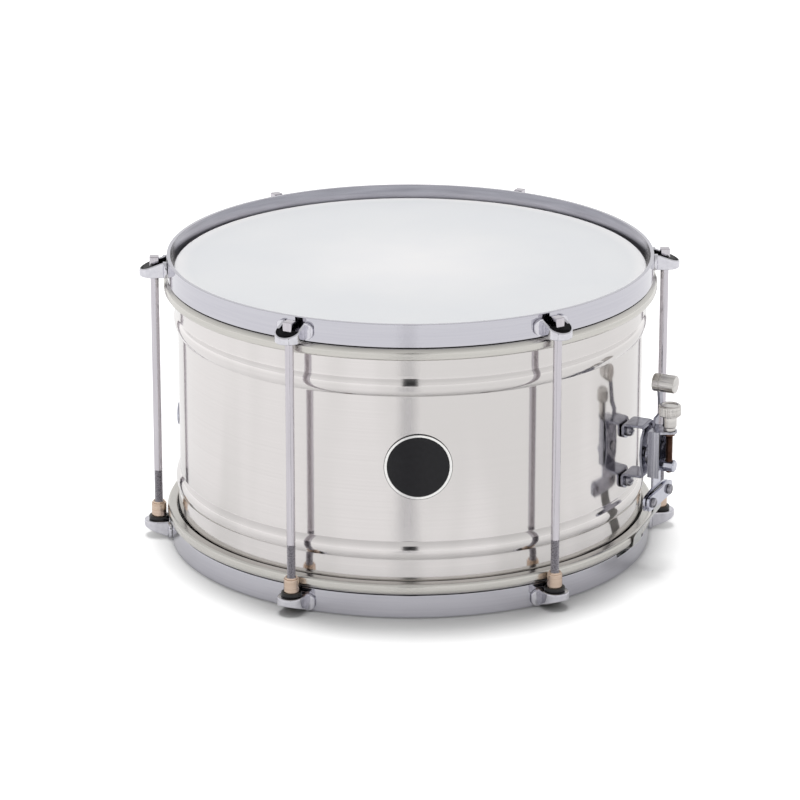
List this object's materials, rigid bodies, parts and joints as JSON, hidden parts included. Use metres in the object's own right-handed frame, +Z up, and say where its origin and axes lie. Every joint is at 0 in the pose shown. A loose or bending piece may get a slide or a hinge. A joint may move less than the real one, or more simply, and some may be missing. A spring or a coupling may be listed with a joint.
{
  "type": "snare drum",
  "caption": "Compact rod-tuned Brazilian snare drum with a beaded metal shell, flat metal hoops, cast hook ears, white head and a lever throw-off strainer with strap-held wires.",
  "frame": {"origin": "on the drum's axis at the lower edge of the snare-side hoop, where the drum stands", "axes": "+Z up along the drum's axis to the batter head; -Y out through the badge; the strainer is on the +X, -Y side"},
  "size_m": [0.3466, 0.316, 0.1904],
  "materials": {
    "shell": "satin, spun",
    "batter_film": "coated translucent film",
    "snare_film": "thin clear film",
    "flesh_hoop": "satin",
    "hoop": "chrome plated",
    "ear": "chrome plated casting",
    "rod": "plated steel",
    "nut": "turned brass",
    "washer": "black",
    "strainer": "plated pressed steel",
    "nickel": "brushed nickel plate",
    "screw": "plated steel",
    "clamp": "plated pressed steel",
    "strap": "white flexible film",
    "wire": "bright wire",
    "badge": "black enamel, blank",
    "vent": "plated"
  },
  "bodies": {
    "drum": {"shell": "shell", "batter_head": "batter_film", "snare_head": "snare_film", "batter_flesh_hoop": "flesh_hoop", "snare_flesh_hoop": "flesh_hoop", "batter_hoop": "hoop", "snare_hoop": "hoop", "upper_ear_1": "ear", "upper_ear_2": "ear", "upper_ear_3": "ear", "upper_ear_4": "ear", "upper_ear_5": "ear", "upper_ear_6": "ear", "lower_ear_1": "ear", "lower_ear_2": "ear", "lower_ear_3": "ear", "lower_ear_4": "ear", "lower_ear_5": "ear", "lower_ear_6": "ear", "sleeve_nut_1": "nut", "sleeve_nut_2": "nut", "sleeve_nut_3": "nut", "sleeve_nut_4": "nut", "sleeve_nut_5": "nut", "sleeve_nut_6": "nut", "nut_washer_1": "washer", "nut_washer_2": "washer", "nut_washer_3": "washer", "nut_washer_4": "washer", "nut_washer_5": "washer", "nut_washer_6": "washer", "strainer_bracket": "strainer", "strainer_screw_upper": "screw", "strainer_screw_lower": "screw", "lever_rivet": "screw", "strainer_strap": "strap", "butt_plate": "clamp", "butt_clamp_plate": "clamp", "butt_clamp_screw_1": "screw", "butt_clamp_screw_2": "screw", "butt_strap": "strap", "snare_wires": "wire", "badge": "badge", "vent_grommet": "vent"},
    "rod_1": {"tension_rod_1": "rod"},
    "rod_2": {"tension_rod_2": "rod"},
    "rod_3": {"tension_rod_3": "rod"},
    "rod_4": {"tension_rod_4": "rod"},
    "rod_5": {"tension_rod_5": "rod"},
    "rod_6": {"tension_rod_6": "rod"},
    "lever": {"throw_off_lever": "strainer", "lever_barrel": "nickel"},
    "slide": {"strainer_slide": "strainer"},
    "knob": {"tension_knob": "nickel"},
    "clamp": {"trunnion_nut": "strainer", "tension_plate": "clamp", "strainer_clamp_plate": "clamp", "strainer_clamp_screw_1": "screw", "strainer_clamp_screw_2": "screw"}
  },
  "joints": [
    {"name": "rod_1_turn", "type": "hinge", "parent": "drum", "child": "rod_1", "pos_m": [-0.0818, -0.14168, 0.18], "axis": [0, 0, 1], "continuous": true},
    {"name": "rod_2_turn", "type": "hinge", "parent": "drum", "child": "rod_2", "pos_m": [0.0818, -0.14168, 0.18], "axis": [0, 0, 1], "continuous": true},
    {"name": "rod_3_turn", "type": "hinge", "parent": "drum", "child": "rod_3", "pos_m": [0.1636, 0, 0.18], "axis": [0, 0, 1], "continuous": true},
    {"name": "rod_4_turn", "type": "hinge", "parent": "drum", "child": "rod_4", "pos_m": [0.0818, 0.14168, 0.18], "axis": [0, 0, 1], "continuous": true},
    {"name": "rod_5_turn", "type": "hinge", "parent": "drum", "child": "rod_5", "pos_m": [-0.0818, 0.14168, 0.18], "axis": [0, 0, 1], "continuous": true},
    {"name": "rod_6_turn", "type": "hinge", "parent": "drum", "child": "rod_6", "pos_m": [-0.1636, 0, 0.18], "axis": [0, 0, 1], "continuous": true},
    {"name": "lever_throw", "type": "hinge", "parent": "drum", "child": "lever", "pos_m": [0.14716, -0.0766, 0.0778], "axis": [-0.887, 0.4617, 0], "range_deg": [0, 90]},
    {"name": "slide_drop", "type": "slide", "parent": "drum", "child": "slide", "axis": [0, 0, -1], "range_m": [0, 0.0065], "deforming": ["strainer_strap"]},
    {"name": "knob_turn", "type": "hinge", "parent": "slide", "child": "knob", "pos_m": [0.15886, -0.0827, 0.1], "axis": [0, 0, 1], "range_deg": [-720, 720]},
    {"name": "clamp_travel", "type": "slide", "parent": "slide", "child": "clamp", "axis": [0, 0, -1], "range_m": [-0.002, 0.002]}
  ],
  "couplings": [
    {"joint": "slide_drop", "follows": "lever_throw", "m_per_rad": 0.004138},
    {"joint": "clamp_travel", "follows": "knob_turn", "m_per_rad": 0.00015915}
  ]
}
